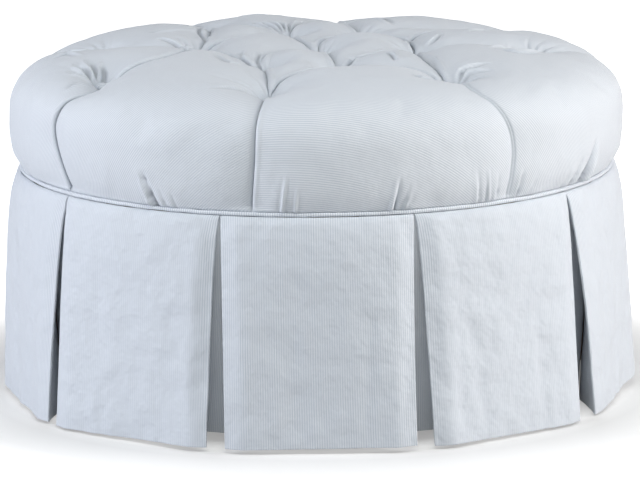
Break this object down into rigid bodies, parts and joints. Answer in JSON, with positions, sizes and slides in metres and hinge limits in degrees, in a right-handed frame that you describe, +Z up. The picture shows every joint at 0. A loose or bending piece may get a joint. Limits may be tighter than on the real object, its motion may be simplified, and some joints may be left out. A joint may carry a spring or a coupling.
{
  "type": "tufted ottoman",
  "caption": "Round upholstered ottoman with a deep-tufted cushion top, welt cord and a floor-length skirt of pleated panels over a hidden wooden base.",
  "frame": {"origin": "on the floor under the centre of the base", "axes": "+Z up through the cushion's centre, front towards -Y with one skirt panel square to it, +X to the right seen from the front"},
  "size_m": [0.9318, 0.896, 0.512],
  "materials": {
    "cover_cloth": "matte",
    "button_cloth": "matte",
    "welt_cloth": "matte",
    "skirt_cloth": "matte",
    "insert_cloth": "matte",
    "foam": "matte",
    "twine": "matte",
    "washer_fibre": "matte",
    "tack_card": "matte",
    "plywood": "matte",
    "screw_steel": "satin",
    "softwood": "matte",
    "fibreboard": "matte",
    "stained_wood": "satin",
    "hardware_steel": "satin",
    "glide_plastic": "matte",
    "dust_cloth": "matte"
  },
  "bodies": {
    "root": {"tufted_cover": "cover_cloth", "foam_pad": "foam", "tuft_buttons": "button_cloth", "tuft_twine": "twine", "tie_off_washers": "washer_fibre", "welt_cord": "welt_cloth", "skirt_panel_1": "skirt_cloth", "skirt_panel_2": "skirt_cloth", "skirt_panel_3": "skirt_cloth", "skirt_panel_4": "skirt_cloth", "skirt_panel_5": "skirt_cloth", "skirt_panel_6": "skirt_cloth", "skirt_panel_7": "skirt_cloth", "skirt_panel_8": "skirt_cloth", "skirt_panel_9": "skirt_cloth", "skirt_panel_10": "skirt_cloth", "pleat_insert_1": "insert_cloth", "pleat_insert_2": "insert_cloth", "pleat_insert_3": "insert_cloth", "pleat_insert_4": "insert_cloth", "pleat_insert_5": "insert_cloth", "pleat_insert_6": "insert_cloth", "pleat_insert_7": "insert_cloth", "pleat_insert_8": "insert_cloth", "pleat_insert_9": "insert_cloth", "pleat_insert_10": "insert_cloth", "tack_strip": "tack_card", "deck_board": "plywood", "deck_screws": "screw_steel", "upright_1": "softwood", "upright_2": "softwood", "upright_3": "softwood", "upright_4": "softwood", "upright_5": "softwood", "upright_6": "softwood", "ring_segment_1": "plywood", "ring_segment_2": "plywood", "ring_segment_3": "plywood", "ring_segment_4": "plywood", "ring_segment_5": "plywood", "ring_segment_6": "plywood", "ring_screws": "screw_steel", "side_board_1": "fibreboard", "side_board_2": "fibreboard", "side_board_3": "fibreboard", "side_board_4": "fibreboard", "side_board_5": "fibreboard", "side_board_6": "fibreboard", "leg_1": "stained_wood", "leg_2": "stained_wood", "leg_3": "stained_wood", "leg_4": "stained_wood", "leg_studs": "hardware_steel", "leg_t_nuts": "hardware_steel", "glides": "glide_plastic", "dust_cover": "dust_cloth"}
  },
  "joints": []
}
